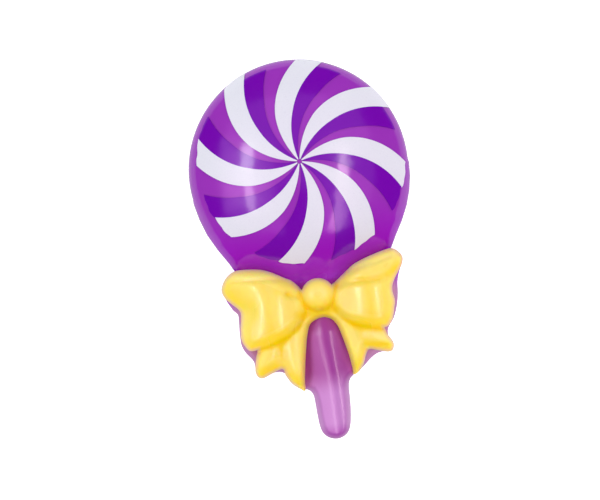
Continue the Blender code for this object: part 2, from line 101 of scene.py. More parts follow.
PLATE_OUTLINE = [
    (6.0, -9.6), (7.3, -9.3), (8.05, -9.28), (8.58, -9.68), (8.86, -10.2), (8.78, -10.9),
    (8.45, -11.6), (8.17, -12.5), (8.05, -13.6), (7.78, -14.8), (7.3, -16.0), (6.6, -16.95),
    (6.5, -17.7), (6.75, -18.6), (6.3, -19.15), (5.3, -19.25), (4.5, -19.65), (3.4, -20.55),
    (2.5, -21.05), (0.0, -21.4), (-2.45, -21.85), (-3.5, -21.25), (-4.3, -19.95), (-5.3, -19.75),
    (-6.5, -20.1), (-7.1, -19.6), (-7.12, -18.7), (-7.25, -18.2), (-7.84, -17.38),
    (-8.13, -16.7), (-8.18, -16.1), (-8.15, -15.2), (-8.07, -14.2), (-8.07, -13.5),
    (-8.46, -13.05), (-8.64, -12.7), (-8.97, -12.05), (-9.22, -11.0), (-9.05, -10.45),
    (-8.6, -9.8), (-7.9, -9.33), (-7.0, -9.28), (-6.0, -9.4),
    (-4.0, -11.2), (-2.0, -12.3), (0.0, -12.6), (2.0, -12.3), (4.0, -11.3),
]
CASTING_SOFTNESS = 0.06
CASTING_EDGE_RINGS = (0.04, 0.12, 0.24)
FINE = 0.16
EDGE_STEP = 1.6 * FINE
STICK_EDGE_STEP = 1.2 * FINE
RING_KEPT = 0.9
ROW_CLEAR = 0.4
SAME_PLACE = 0.0001
FLAT_ANGLE = 0.001
SMOOTH_ANGLE = math.radians(35.0)
PAST_EDGE = -0.3


def smooth_outline(points, spacing):
    """A closed Catmull-Rom curve through the points, with steps of about the spacing."""
    outline = []
    count = len(points)
    for index in range(count):
        before, start, end, beyond = (
            np.array(points[(index + offset) % count]) for offset in (-1, 0, 1, 2)
        )
        steps = max(1, round(math.dist(start, end) / spacing))
        t = np.arange(steps)[:, None] / steps
        outline.append(
            start
            + 0.5 * (end - before) * t
            + 0.5 * (2 * before - 5 * start + 4 * end - beyond) * t**2
            + 0.5 * (3 * start - before - 3 * end + beyond) * t**3
        )
    return np.vstack(outline)


def straight_outline(points, spacing):
    """The closed outline with straight sides, divided into steps of at most the spacing."""
    outline = []
    for start, end in zip(points, points[1:] + points[:1]):
        steps = max(1, math.ceil(math.dist(start, end) / spacing))
        share = np.arange(steps)[:, None] / steps
        outline.append(np.array(start) + share * np.subtract(end, start))
    return np.vstack(outline)


def circle(radius, spacing):
    """A closed ring of points about the middle, at least eight of them."""
    count = max(8, round(math.tau * radius / spacing))
    turn = np.linspace(0.0, math.tau, count, endpoint=False)
    return radius * np.stack([np.cos(turn), np.sin(turn)], axis=1)


def distance_to_line(places, line):
    """How far each place is from a line of points."""
    nearest = np.full(len(places), np.inf)
    for start, end in zip(line[:-1], line[1:]):
        along = end - start
        share = np.clip((places - start) @ along / (along @ along), 0.0, 1.0)
        foot = start + share[:, None] * along
        nearest = np.minimum(nearest, np.hypot(*(places - foot).T))
    return nearest


def depth_inside(places, outline):
    """The distance of each place to the outline, negative outside it."""
    closed = np.vstack([outline, outline[:1]])
    distance = distance_to_line(places, closed)
    inside = np.zeros(len(places), bool)
    for (x0, y0), (x1, y1) in zip(closed[:-1], closed[1:]):
        spans = (y0 > places[:, 1]) != (y1 > places[:, 1])
        if spans.any():
            crossing = x0 + (places[:, 1] - y0) * (x1 - x0) / (y1 - y0)
            inside ^= spans & (places[:, 0] < crossing)
    return np.where(inside, distance, -distance)


def moved_in(outline, margin):
    """The outline moved inwards by the margin."""
    along = np.roll(outline, -1, axis=0) - np.roll(outline, 1, axis=0)
    along /= np.hypot(*along.T)[:, None]
    inward = np.stack([-along[:, 1], along[:, 0]], axis=1)
    following = np.roll(outline, -1, axis=0)
    turn = np.sum(outline[:, 0] * following[:, 1] - following[:, 0] * outline[:, 1])
    return outline + math.copysign(margin, turn) * inward


def net_points(outlines, ringed, depths, extra, step):
    """Points for a moulded face: outlines, rings just inside some of them, staggered rows."""
    rings = [moved_in(outline, depth) for outline in ringed for depth in depths]
    kept = [*outlines]
    for ring, depth in zip(rings, list(depths) * len(ringed)):
        reach = np.max([depth_inside(ring, outline) for outline in outlines], axis=0)
        kept.append(ring[reach > RING_KEPT * depth])
    everywhere = np.vstack(outlines)
    low, high = everywhere.min(axis=0), everywhere.max(axis=0)
    rows = []
    for row, y in enumerate(np.arange(low[1], high[1], step * math.sqrt(0.75))):
        x = np.arange(low[0] + step * 0.5 * (row % 2), high[0], step)
        rows.append(np.stack([x, np.full(len(x), y)], axis=1))
    field = np.vstack(rows)
    reach = np.stack([depth_inside(field, outline) for outline in outlines])
    clearance = ROW_CLEAR * step
    deepest = max(depths) + clearance
    clear = ((reach < -clearance) | (reach > deepest)).all(axis=0)
    field = field[clear & (reach.max(axis=0) > 0.0)]
    if len(extra):
        span = np.hypot(*extra.T).max() + 0.5 * step
        field = field[np.hypot(*field.T) > span]
        kept = [*kept, extra]
    return np.vstack([*kept, field])


def moulded(name, outlines, height, back, points):
    """A closed piece: its shown face at the height rule, straight sides and a flat back.

    The forms of a mould run into each other with no edge between them. So the face is one net
    of triangles that follows every outline, and edit mode gives it its sides and its back.
    """
    loops = []
    for outline in outlines:
        start = sum(len(loop) for loop in loops)
        loops.append(list(range(start, start + len(outline))))
    flat = [Vector(point) for point in points]
    places, _, triangles, *_ = delaunay_2d_cdt(flat, [], loops, 1, SAME_PLACE)
    places = np.array(places)
    shown = np.column_stack([places[:, 0], places[:, 1] + DISC_MIDDLE, height(places)]) * MM
    mesh = bpy.data.meshes.new(name)
    mesh.from_pydata(shown.tolist(), [], triangles)
    piece = bpy.data.objects.new(name, mesh)
    bpy.context.collection.objects.link(piece)
    bpy.ops.object.select_all(action="DESELECT")
    piece.select_set(True)
    bpy.context.view_layer.objects.active = piece
    bpy.ops.object.mode_set(mode="EDIT")
    bpy.ops.mesh.select_all(action="SELECT")
    bpy.ops.mesh.delete_loose()
    bpy.ops.mesh.select_all(action="SELECT")
    down = {"value": (0.0, 0.0, -DOME_TOP * MM)}
    bpy.ops.mesh.extrude_region_move(TRANSFORM_OT_translate=down)
    bpy.ops.transform.resize(value=(1.0, 1.0, 0.0), center_override=(0.0, 0.0, back * MM))
    bpy.ops.mesh.dissolve_limited(angle_limit=FLAT_ANGLE)
    bpy.ops.mesh.select_all(action="SELECT")
    bpy.ops.mesh.normals_make_consistent(inside=False)
    bpy.ops.mesh.select_all(action="DESELECT")
    bpy.ops.object.mode_set(mode="OBJECT")
    bpy.ops.object.shade_smooth_by_angle(angle=SMOOTH_ANGLE)
    return piece


def soft_highest(heights, softness):
    """The highest of some heights, with a small fillet where they cross."""
    stack = np.stack(heights)
    peak = stack.max(axis=0)
    return peak + softness * np.log(np.exp((stack - peak) / softness).sum(axis=0))


def puffed(depth, side, crown, edge, power):
    """The height of a moulded cushion: its side, then a crown that is full past the edge."""
    share = np.clip(depth / edge, PAST_EDGE, 1.0)
    return side + crown * (1.0 - (1.0 - share) ** power)


def filleted(height, floor, size):
    """The higher of a height and a floor, with a fillet where they cross."""
    overlap = np.maximum(size - abs(height - floor), 0.0)
    return np.maximum(height, floor) + overlap**2 / (4.0 * size)


def rounded_down(top, wall, depth, width):
    """The top carried out to the edge, then down to the wall in a quarter round."""
    share = np.clip(depth / width, 0.0, 1.0)
    return wall + (top - wall) * np.sqrt(1.0 - (1.0 - share) ** 2)


def ball_height(radius):
    """The height of the ball that the dome is cut from."""
    out = np.minimum(radius, BALL_REACH)
    return DOME_TOP - BALL_RADIUS + np.sqrt(BALL_RADIUS**2 - out**2)


def disc_height(radius):
    """The disc's shown face: dome, round shoulder, and its wall beyond."""
    run = np.clip(radius - WALL_RADIUS + SHOULDER, 0.0, SHOULDER)
    shoulder = SHOULDER_FOOT + np.sqrt(SHOULDER**2 - run**2)
    wall = WALL_FALL * np.maximum(radius - WALL_RADIUS, 0.0)
    return np.where(radius <= DOME_RADIUS, ball_height(radius), shoulder - wall)


plate_edge = smooth_outline(PLATE_OUTLINE, EDGE_STEP)
neck_edge = straight_outline(NECK_OUTLINE, EDGE_STEP)
stick_edge = smooth_outline(STICK_OUTLINE, STICK_EDGE_STEP)


def smooth_step(value, start, end):
    """0 at the start and 1 at the end, with a smooth run between them."""
    share = np.clip((value - start) / (end - start), 0.0, 1.0)
    return share * share * (3.0 - 2.0 * share)


def casting_height(places):
    """The shown face of the casting: disc, neck, plate and stick, run into each other."""
    x, y = places.T
    radius = np.hypot(x, y)
    disc = disc_height(radius)
    fillet = NECK_FILLET * smooth_step(y, *NECK_START) + LEAST_FILLET
    neck_depth = depth_inside(places, neck_edge)
    body_depth = np.maximum(neck_depth, WALL_RADIUS - radius)
    floor = NECK_TOP[0] + (NECK_TOP[1] - NECK_TOP[0]) * smooth_step(y, *NECK_RISE)
    flow = filleted(ball_height(radius), floor, fillet)
    neck = rounded_down(flow, SHOULDER_FOOT, body_depth, WALL_RADIUS - DOME_RADIUS)
    on_neck = (y < 0.0) & (neck_depth > -FINE)
    upper = np.where(on_neck, np.maximum(disc, neck), disc)
    plate_depth = depth_inside(places, plate_edge)
    plate = puffed(plate_depth, PLATE_SIDE, PLATE_ROUND, PLATE_EDGE, 2)
    beside_stick = smooth_step(np.abs(x), *PLATE_DIP_SIDE) * smooth_step(y, *PLATE_DIP_END)
    plate = plate - PLATE_DIP * beside_stick
    plate = np.where(plate_depth < -FINE, 0.0, plate)
    down = smooth_step(y, *RIDGE_RUN)
    off_ridge = x - RIDGE_PLACE[0] - down * (RIDGE_PLACE[1] - RIDGE_PLACE[0])
    bend = RIDGE_BEND[0] + down * (RIDGE_BEND[1] - RIDGE_BEND[0])
    roof = STICK_TOP - RIDGE_SLOPE * (np.hypot(off_ridge, bend) - bend)
    past = y - RIDGE_DIP_START
    roof = roof - RIDGE_DIP_SLOPE * (past + np.hypot(past, RIDGE_DIP_SOFTNESS)) / 2.0
    stick_depth = depth_inside(places, stick_edge)
    stick = rounded_down(roof, STICK_SIDE, stick_depth, STICK_ROUND)
    stick = np.where((y > STICK_TOP_END) | (stick_depth < -FINE), 0.0, stick)
    return soft_highest([upper, plate, stick], CASTING_SOFTNESS)


shoulder_turn = np.linspace(DOME_SLOPE, math.pi / 2, SHOULDER_RINGS, endpoint=False)
shoulder_rings = WALL_RADIUS - SHOULDER + SHOULDER * np.sin(shoulder_turn)
disc_rings = [*np.arange(DISC_RING_STEP, DOME_RADIUS, DISC_RING_STEP), *shoulder_rings]
rings = [circle(radius, DISC_RING_STEP) for radius in disc_rings]
disc_points = np.vstack([[(0.0, 0.0)], *rings])
wall_edge = circle(WALL_RADIUS, DISC_RING_STEP)
lower_edges = [neck_edge, plate_edge, stick_edge]
casting_edges = [wall_edge, *lower_edges]
casting_points = net_points(casting_edges, lower_edges, CASTING_EDGE_RINGS, disc_points, FINE)
casting = moulded("resin_casting", casting_edges, casting_height, 0.0, casting_points)
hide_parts("resin_body")
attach(casting, "root")


class Pattern:
    """A shader socket that is reckoned with like a number; each operator adds its node."""

    def __init__(self, tree, socket=None):
        self.tree = tree
        self.socket = socket

    def node(self, kind, settings, inputs, output=0):
        """Any node: its settings first, then a value or a link for each of its sockets."""
        made = self.tree.nodes.new(kind)
        for name, value in settings.items():
            setattr(made, name, value)
        for name, value in inputs.items():
            if isinstance(value, Pattern):
                self.tree.links.new(value.socket, made.inputs[name])
            else:
                made.inputs[name].default_value = value
        return Pattern(self.tree, made.outputs[output])

    def maths(self, operation, *numbers):
        """A Math node, whose inputs are given in their order."""
        return self.node("ShaderNodeMath", {"operation": operation}, dict(enumerate(numbers)))

    def __add__(self, other):
        return self.maths("ADD", self, other)

    def __sub__(self, other):
        return self.maths("SUBTRACT", self, other)

    def __rsub__(self, other):
        return self.maths("SUBTRACT", other, self)

    def __mul__(self, other):
        return self.maths("MULTIPLY", self, other)

    __radd__ = __add__
    __rmul__ = __mul__

    def between(self, start, end):
        """0 before the start and 1 past the end, with a smooth run between them."""
        values = {"Value": self, "From Min": start, "From Max": end}
        return self.node("ShaderNodeMapRange", {"interpolation_type": "SMOOTHSTEP"}, values)

    def blend(self, low, high):
        """The colour low where this is 0 and high where it is 1."""
        return self.node("ShaderNodeMix", {"data_type": "RGBA"}, {0: self, 6: low, 7: high}, 2)

    def noise(self, where, size, detail):
        """Even noise from 0 to 1 whose lumps are about this size in metres."""
        values = {"Vector": where, "Scale": 1.0 / size, "Detail": detail}
        return self.node("ShaderNodeTexNoise", {}, values)


def finish(name, **settings):
    """A new Principled material: the pattern to build on, the place on the piece, the shader."""
    made = bpy.data.materials.new(name)
    made.use_nodes = True
    shader = made.node_tree.nodes["Principled BSDF"]
    for socket, value in settings.items():
        shader.inputs[socket.replace("_", " ")].default_value = value
    pattern = Pattern(made.node_tree)
    where = pattern.node("ShaderNodeTexCoord", {}, {}, "Object")
    return made, pattern, where, shader


def feed(shader, socket, pattern):
    """Joins the pattern to one of the shader's sockets."""
    pattern.tree.links.new(pattern.socket, shader.inputs[socket])


LUMP_SIZE = 2.2 * MM
GRAIN_SIZE = 0.22 * MM
WAVE_SIZE = 2.4 * MM
WAVE_RISE = 0.06 * MM
PURPLE = (0.32, 0.003, 0.495, 1.0)
# Painted haze: the paler purple that the disc takes on towards its top
PURPLE_PAINTED_HAZE = (0.315, 0.033, 0.46, 1.0)
NECK_DEEP = (0.335, 0.01, 0.56, 1.0)
PLATE_THIN = (0.49, 0.225, 0.44, 1.0)
STICK_END = (0.37, 0.07, 0.38, 1.0)
# Between the tails the stick is darker, partly from thicker resin and partly from painted shade
# of the tails; its sides are lighter, which is painted light
STICK_THICK_AND_SHADED = (0.30, 0.03, 0.265, 1.0)
STICK_SIDE_PAINTED_LIGHT = (0.44, 0.075, 0.42, 1.0)
STICK_CLEAR = (0.505, 0.20, 0.525, 1.0)
STICK_RUN = (-14.6, -13.4)
STICK_SIDE_RUN = (2.6, 3.2)
CLEAR_RUN = (-22.8, -20.2)
TOP_HAZE_RUN = (-8.5, -3.0)
NECK_RUN = (-10.8, -8.4)
BEHIND_BOW_RUN = (-13.6, -11.2)
STICK_SIDE_LIGHT_RUN = (1.7, 2.7)
TIP_RUN = (-26.8, -25.4)


def above(along, run):
    """0 below a run of places up the charm and 1 above it."""
    return along.between((DISC_MIDDLE + run[0]) * MM, (DISC_MIDDLE + run[1]) * MM)


def outside(beside, run):
    """0 nearer the middle line than a run of distances and 1 beyond it."""
    return beside.between(run[0] * MM, run[1] * MM)


def waved(pattern, where, speckle, share):
    """The faint waves of a cast face, with some of its finer speckle, as a bump."""
    height = pattern.noise(where, WAVE_SIZE, 1.0) + share * speckle
    return pattern.node("ShaderNodeBump", {}, {"Distance": WAVE_RISE, "Height": height})


violet, pattern, where, shader = finish(
    "violet_resin", Roughness=0.15, Coat_Weight=0.5, Coat_Roughness=0.1, IOR=1.45
)
lumps = pattern.noise(where, LUMP_SIZE, 2.0)
grain = pattern.noise(where, GRAIN_SIZE, 3.0)
along = pattern.node("ShaderNodeSeparateXYZ", {}, {"Vector": where}, "Y")
across = pattern.node("ShaderNodeSeparateXYZ", {}, {"Vector": where}, "X")
beside = across.maths("ABSOLUTE", across)
on_stick = 1.0 - above(along, STICK_RUN)
on_stick = on_stick * (1.0 - outside(beside, STICK_SIDE_RUN))
clear_end = 1.0 - above(along, CLEAR_RUN)
# Painted reflection: the resin is paler towards the top of the disc, where the light above is
# mirrored
painted_top_haze = above(along, TOP_HAZE_RUN)
resin = (0.85 * painted_top_haze + 0.15 * grain).blend(PURPLE, PURPLE_PAINTED_HAZE)
at_neck = 1.0 - above(along, NECK_RUN)
resin = at_neck.blend(resin, NECK_DEEP)
behind_bow = 1.0 - above(along, BEHIND_BOW_RUN)
resin = behind_bow.blend(resin, PLATE_THIN)
# Painted shade and light on the stick between the tails: darker there, partly from its thicker
# resin and partly from painted shade of the tails, and lighter towards its sides, where painted
# light offsets the shade beside the tails
between_tails = outside(beside, STICK_SIDE_LIGHT_RUN).blend(STICK_THICK_AND_SHADED, STICK_SIDE_PAINTED_LIGHT)
stick = clear_end.blend(between_tails, STICK_CLEAR)
at_tip = 1.0 - above(along, TIP_RUN)
stick = at_tip.blend(stick, STICK_END)
feed(shader, "Base Color", on_stick.blend(resin, stick))
feed(shader, "Roughness", 0.12 + 0.06 * lumps + 0.06 * on_stick + 0.12 * at_neck)
feed(shader, "Coat Weight", 0.5 - 0.15 * on_stick)
feed(shader, "Normal", waved(pattern, where, grain, 0.03))
casting.data.materials.append(violet)

# ---------------------------------------------------------------------------
# The pinwheel. It is printed on the dome in two inks, eight white arms each with a dark violet
# arm on its clockwise side, and the resin shows between them. The print sits a little off the
# middle, so the arms at the top run over the edge and the others stop on a ring.
HUB = np.array((0.2, 0.65))
PRINT_MIDDLE = np.array((0.41, 0.9))
PRINT_RADIUS = 10.35
WHITE_REACH = 10.9
DARK_REACH = 10.35
ARM_START = 0.25
ARM_TURN = (26.3, -2.74, -0.116)
WHITE_HALF_ANGLE = 10.25
WHITE_TAPER_FROM = 5.0
WHITE_TAPER = 0.575
DARK_FAR_ANGLE = -24.7
DARK_TAPER_FROM = 7.0
DARK_TAPER = 1.0
ARM_COUNT = 8
ARM_SPACING = 360.0 / ARM_COUNT
ARM_OVERLAP = 1.0
ARM_ROWS = 70
ARM_COLUMNS = 12
ARM_SETTLING = 5
WHITE_LIFT = 0.038
DARK_LIFT = 0.028
WHITE_RAGGED = 0.05
DARK_RAGGED = 0.07
INK_THICKNESS = 0.05
LEAST_RADIUS = 0.01


def reach(turn, middle, radius):
    """How far from the hub a circle is met along each angle."""
    away = middle - HUB
    ahead = away[0] * np.cos(turn) + away[1] * np.sin(turn)
    return ahead + np.sqrt(radius**2 - away @ away + ahead**2)


def white_half_angle(radius):
    """Half the angle that a white arm takes up, seen from the hub."""
    return WHITE_HALF_ANGLE - WHITE_TAPER * np.maximum(0.0, radius - WHITE_TAPER_FROM)


def dark_far_angle(radius):
    """The angle from a white arm's middle line to the far side of its dark arm."""
    return DARK_FAR_ANGLE + DARK_TAPER * np.maximum(0.0, radius - DARK_TAPER_FROM)


def on_dome(x, y, lift):
    """The place over (x, y) on the disc, lifted off it along its normal, in metres."""
    radius = np.hypot(x, y)
    lean = np.where(
        radius <= DOME_RADIUS,
        radius / BALL_RADIUS,
        (radius - WALL_RADIUS + SHOULDER) / SHOULDER,
    )
    lean = np.clip(lean, 0.0, 1.0)
    outward = 1.0 + lean * lift / np.maximum(radius, LEAST_RADIUS)
    z = casting_height(np.column_stack([x, y])) + np.sqrt(1.0 - lean**2) * lift
    return np.column_stack([x * outward, y * outward + DISC_MIDDLE, z]) * MM


def print_arm(name, arm, right_side, left_side, disc_reach, lift, ragged):
    """A film of ink: a grid laid between the arm's two long sides and down on to the dome."""
    bpy.ops.object.select_all(action="DESELECT")
    bpy.ops.mesh.primitive_grid_add(x_subdivisions=ARM_COLUMNS, y_subdivisions=ARM_ROWS, size=1.0)
    film = bpy.context.object
    film.name = name
    film.data.name = name
    flat = np.array([vertex.co for vertex in film.data.vertices])
    across, along = flat[:, 0] + 0.5, flat[:, 1] + 0.5

    def turn_at(radius):
        side = right_side(radius) + across * (left_side(radius) - right_side(radius))
        swirl = ARM_TURN[0] + ARM_TURN[1] * radius + ARM_TURN[2] * radius**2
        return np.radians(swirl + side + ARM_SPACING * arm)

    broad = ragged * np.sin(5.0 * across + 2.1 * arm)
    narrow = 0.5 * ragged * np.sin(13.0 * across + arm)
    end = np.full(len(flat), PRINT_RADIUS)
    for _ in range(ARM_SETTLING):
        ring = reach(turn_at(end), PRINT_MIDDLE, PRINT_RADIUS) + broad + narrow
        end = np.minimum(ring, reach(turn_at(end), np.zeros(2), disc_reach))
    # The rows lie closer together towards the arm's end
    radius = ARM_START + along * (3.0 - along) / 2.0 * (end - ARM_START)
    turn = turn_at(radius)
    x, y = HUB[0] + radius * np.cos(turn), HUB[1] + radius * np.sin(turn)
    film.data.vertices.foreach_set("co", on_dome(x, y, lift).ravel())
    thick = film.modifiers.new("ink", "SOLIDIFY")
    thick.thickness = INK_THICKNESS * MM
    thick.offset = -1.0
    bpy.ops.object.modifier_apply(modifier="ink")
    bpy.ops.object.shade_smooth_by_angle(angle=SMOOTH_ANGLE)
    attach(film, "root")
    return film


WHITE_SPECK_SIZE = 0.16 * MM
DARK_SPECK_SIZE = 0.2 * MM
CLOUD_SIZE = 2.5 * MM
WHITE = (0.775, 0.76, 0.84, 1.0)
WHITE_SHADE = (0.705, 0.685, 0.785, 1.0)
DARK = (0.195, 0.0, 0.41, 1.0)
DARK_DEEP = (0.15, 0.0, 0.39, 1.0)

white_ink, pattern, where, shader = finish(
    "white_ink", Roughness=0.3, Coat_Weight=0.1, Coat_Roughness=0.15, IOR=1.35
)
specks = pattern.noise(where, WHITE_SPECK_SIZE, 2.0)
clouds = pattern.noise(where, CLOUD_SIZE, 2.0)
feed(shader, "Base Color", (0.65 * specks + 0.35 * clouds).blend(WHITE_SHADE, WHITE))
feed(shader, "Roughness", 0.24 + 0.1 * specks)
feed(shader, "Normal", waved(pattern, where, specks, 0.05))

dark_ink, pattern, where, shader = finish(
    "dark_ink", Roughness=0.15, Coat_Weight=0.3, Coat_Roughness=0.13, IOR=1.45
)
specks = pattern.noise(where, DARK_SPECK_SIZE, 2.0)
clouds = pattern.noise(where, CLOUD_SIZE, 2.0)
feed(shader, "Base Color", (0.5 * specks + 0.5 * clouds).blend(DARK_DEEP, DARK))
feed(shader, "Roughness", 0.12 + 0.06 * specks)
feed(shader, "Normal", waved(pattern, where, specks, 0.03))

for arm in range(ARM_COUNT):
    film = print_arm(
        f"white_print_{arm + 1}",
        arm,
        lambda radius: -white_half_angle(radius),
        white_half_angle,
        WHITE_REACH,
        WHITE_LIFT,
        WHITE_RAGGED,
    )
    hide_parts(f"white_arm_{arm + 1}")
    film.data.materials.append(white_ink)
    film = print_arm(
        f"dark_print_{arm + 1}",
        arm,
        dark_far_angle,
        lambda radius: ARM_OVERLAP - white_half_angle(radius),
        DARK_REACH,
        DARK_LIFT,
        DARK_RAGGED,
    )
    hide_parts(f"dark_arm_{arm + 1}")
    film.data.materials.append(dark_ink)

# ---------------------------------------------------------------------------
# The bow. It is cast in yellow resin, as one soft-edged relief with two puffed loops, a round
# knot and two forked tails, and set into the plate over the top of the stick. The top edge of
# each loop is rolled over. Its colour holds painted shade, gold in the creases and on slopes
# facing down the picture, painted light where it is paler, and a band of painted shade at its
# rim.
LEFT_LOOP = [
    (-1.4, -12.0), (-2.2, -11.0), (-3.0, -10.5), (-4.0, -9.9), (-5.0, -9.45), (-6.0, -9.25),
    (-7.0, -9.15), (-7.9, -9.2), (-8.7, -9.7), (-9.2, -10.4), (-9.35, -11.0), (-9.1, -11.7),
    (-8.6, -12.3), (-8.0, -12.9), (-7.75, -13.4), (-7.85, -14.2), (-8.0, -15.0), (-8.05, -16.0),
    (-7.8, -16.7), (-7.3, -17.25), (-6.2, -17.15), (-4.5, -16.75), (-3.0, -16.2), (-1.7, -15.3),
    (-1.0, -14.3), (-1.0, -13.0),
]
RIGHT_LOOP = [
    (1.5, -12.0), (2.2, -11.5), (3.0, -10.9), (4.0, -10.2), (5.0, -9.8), (6.0, -9.5),
    (7.3, -9.2), (8.1, -9.15), (8.7, -9.6), (9.0, -10.2), (8.8, -10.9), (8.3, -11.6),
    (7.75, -12.4), (7.5, -13.2), (7.6, -14.3), (7.45, -15.0), (7.15, -16.0), (6.7, -16.6),
    (6.2, -16.8), (5.0, -16.6), (3.8, -16.3), (2.5, -15.8), (1.6, -15.1), (1.0, -14.3),
    (1.0, -13.0),
]
TAILS = [
    (-6.0, -15.0), (-6.6, -17.2), (-6.85, -17.9), (-7.0, -18.5), (-7.15, -19.3), (-7.0, -19.9),
    (-6.5, -20.15), (-5.5, -19.8), (-4.45, -19.5), (-4.2, -20.2), (-3.7, -21.1), (-3.0, -21.7),
    (-2.5, -21.95), (-2.4, -21.0), (-2.15, -19.5), (-1.85, -18.0), (-1.5, -16.5), (-1.0, -15.4),
    (0.1, -15.0), (1.0, -15.2), (1.6, -16.0), (2.0, -17.5), (2.3, -19.0), (2.45, -20.3),
    (2.5, -21.05), (3.1, -20.8), (3.6, -20.2), (4.0, -19.3), (4.4, -18.8), (5.2, -19.0),
    (6.2, -19.3), (6.7, -19.2), (6.9, -18.7), (6.8, -18.2), (6.4, -17.5), (6.2, -16.9),
    (5.5, -15.0), (0.0, -13.0),
]
BOW_BACK = 2.2
LOOP_SIDE = 2.7
LOOP_ROUND = (1.1, 1.1)
LOOP_MIDDLES = [(-4.85, -14.1), (5.1, -13.7)]
LOOP_PUFFS = [(1.9, 2.4, 4.0), (1.9, 2.2, 3.8)]
TAIL_SIDE = 2.8
TAIL_ROUND = (0.8, 0.55)
TAIL_CROWN = (0.3, 1.7)
KNOT_MIDDLE = (0.12, -12.6)
KNOT_HALF = (1.65, 1.58)
KNOT_SIDE = 4.2
KNOT_CROWN = 1.15
KNOT_FULL = 1.3
SOFT_POWER = 2.2
ROUND_POWER = 2
BOW_FINE = 0.12
BOW_EDGE_STEP = 1.5 * BOW_FINE
KNOT_EDGE_STEP = 0.1
BOW_EDGE_RINGS = (0.07, 0.16, 0.28, 0.42)
BOW_SOFTNESS = 0.16
CREASE_REACH = 0.7
CREASE_FULL = 0.22
SLOPE_SPAN = 0.3
TURNED_FULL = 1.3
TURNED_SHARE = 0.8
EDGE_MATT = (0.4, 1.5)
RIM_WIDTH = 0.38
RIM_KNOT_SIDE = (2.5, 2.0)
RIM_KNOT_MIDDLE = -13.3
RIM_KNOT_END = (1.3, 0.9)
RIM_STICK_SIDE = (3.2, 2.9)
RIM_STICK_END = (-14.4, -14.8)
RIM_STICK_LOSS = 0.6
BACK_MARGIN = 0.1
# Where the gloss is lost beside the edges: a line with its half width and its share
MATT = [([(-7.4, -10.9), (-6.6, -11.9)], 0.7, 1.0), ([(5.5, -11.4), (6.4, -11.2)], 0.5, 0.7)]
# A fold is a line with its half width and its rise, and a crease has a rise below nought
FOLDS = [
    ([(-8.1, -10.2), (-5.5, -10.35), (-3.1, -10.65), (-1.7, -11.5)], 0.25, -0.2),
    ([(-9.0, -11.3), (-8.2, -12.3), (-7.6, -13.1)], 1.3, -0.55),
    ([(-1.8, -12.6), (-2.7, -12.2)], 0.35, -0.25),
    ([(2.9, -10.85), (5.0, -10.4), (6.2, -10.25), (7.7, -9.9)], 0.25, -0.2),
    ([(1.9, -12.0), (3.6, -11.8), (5.6, -11.9), (7.2, -11.9), (8.1, -11.5)], 0.35, -0.25),
    ([(-5.6, -17.6), (-6.3, -19.0)], 0.8, 0.2),
    ([(-2.9, -16.6), (-3.0, -20.2)], 0.8, 0.25),
    ([(-4.3, -17.8), (-4.35, -19.4)], 0.5, -0.2),
    ([(4.6, -17.3), (6.3, -17.9)], 0.7, 0.25),
    ([(4.1, -18.2), (6.1, -18.6)], 0.3, -0.15),
    ([(2.3, -16.4), (2.9, -19.4)], 0.8, 0.25),
    ([(-1.9, -14.5), (0.0, -14.8), (1.6, -14.4)], 0.45, -0.15),
    ([(-6.7, -19.9), (-5.1, -19.5)], 0.7, -0.4),
    ([(-3.9, -20.9), (-2.8, -21.7)], 0.9, -0.4),
    ([(4.3, -18.9), (6.6, -19.1)], 0.5, -0.35),
    ([(2.6, -20.8), (3.5, -20.4)], 0.9, -0.4),
]
# Bands of painted shade in gold beyond what the folds give, or of painted light with a share
# below nought
PAINTED_SHADING_BANDS = [
    ([(-2.4, -12.25), (-3.9, -11.85)], 0.3, 0.3),
    ([(4.9, -17.4), (6.4, -17.9)], 0.5, -0.6),
    ([(2.7, -16.9), (3.0, -18.6)], 0.5, -0.2),
    ([(-8.0, -9.75), (-4.0, -10.3)], 0.5, -0.5),
    ([(3.6, -10.7), (8.2, -9.7)], 0.5, -0.5),
    ([(-2.8, -16.8), (-2.9, -19.5)], 0.5, -0.3),
    ([(-0.3, -12.3), (0.4, -12.4)], 0.9, -0.25),
    ([(-8.9, -10.9), (-7.0, -12.8)], 0.8, 0.35),
    ([(-5.3, -11.2), (-5.0, -15.5)], 0.5, 0.2),
    ([(5.1, -12.3), (5.2, -15.3)], 0.35, 0.3),
    ([(-7.6, -16.5), (-5.4, -16.2), (-3.4, -15.5)], 0.5, 0.2),
    ([(7.0, -15.8), (4.5, -15.8)], 0.4, 0.2),
    ([(7.2, -11.7), (8.5, -10.9)], 0.5, 0.35),
    ([(-1.9, -14.45), (0.0, -14.7), (1.6, -14.35)], 0.45, 0.6),
    ([(-1.8, -11.6), (-1.85, -13.0)], 0.35, -0.5),
    ([(1.85, -12.4), (1.75, -13.2)], 0.35, -0.4),
    ([(-6.7, -19.6), (-5.3, -19.2)], 0.5, 0.3),
    ([(-3.6, -20.3), (-2.7, -21.4)], 0.6, 0.3),
    ([(4.1, -18.2), (6.4, -18.5)], 0.25, 0.5),
    ([(2.7, -20.6), (3.4, -19.6)], 0.6, 0.2),
]


def along_lines(places, lines):
    """The sum of soft bands: each a line with its half width and its height at the line."""
    total = np.zeros(len(places))
    for line, half_width, height in lines:
        away = distance_to_line(places, np.array(line)) / half_width
        total += height * np.exp(-(away**2))
    return total


loop_edges = [smooth_outline(points, BOW_EDGE_STEP) for points in (LEFT_LOOP, RIGHT_LOOP)]
tails_edge = smooth_outline(TAILS, BOW_EDGE_STEP)
knot_edge = np.array(KNOT_MIDDLE) + circle(1.0, KNOT_EDGE_STEP) * KNOT_HALF


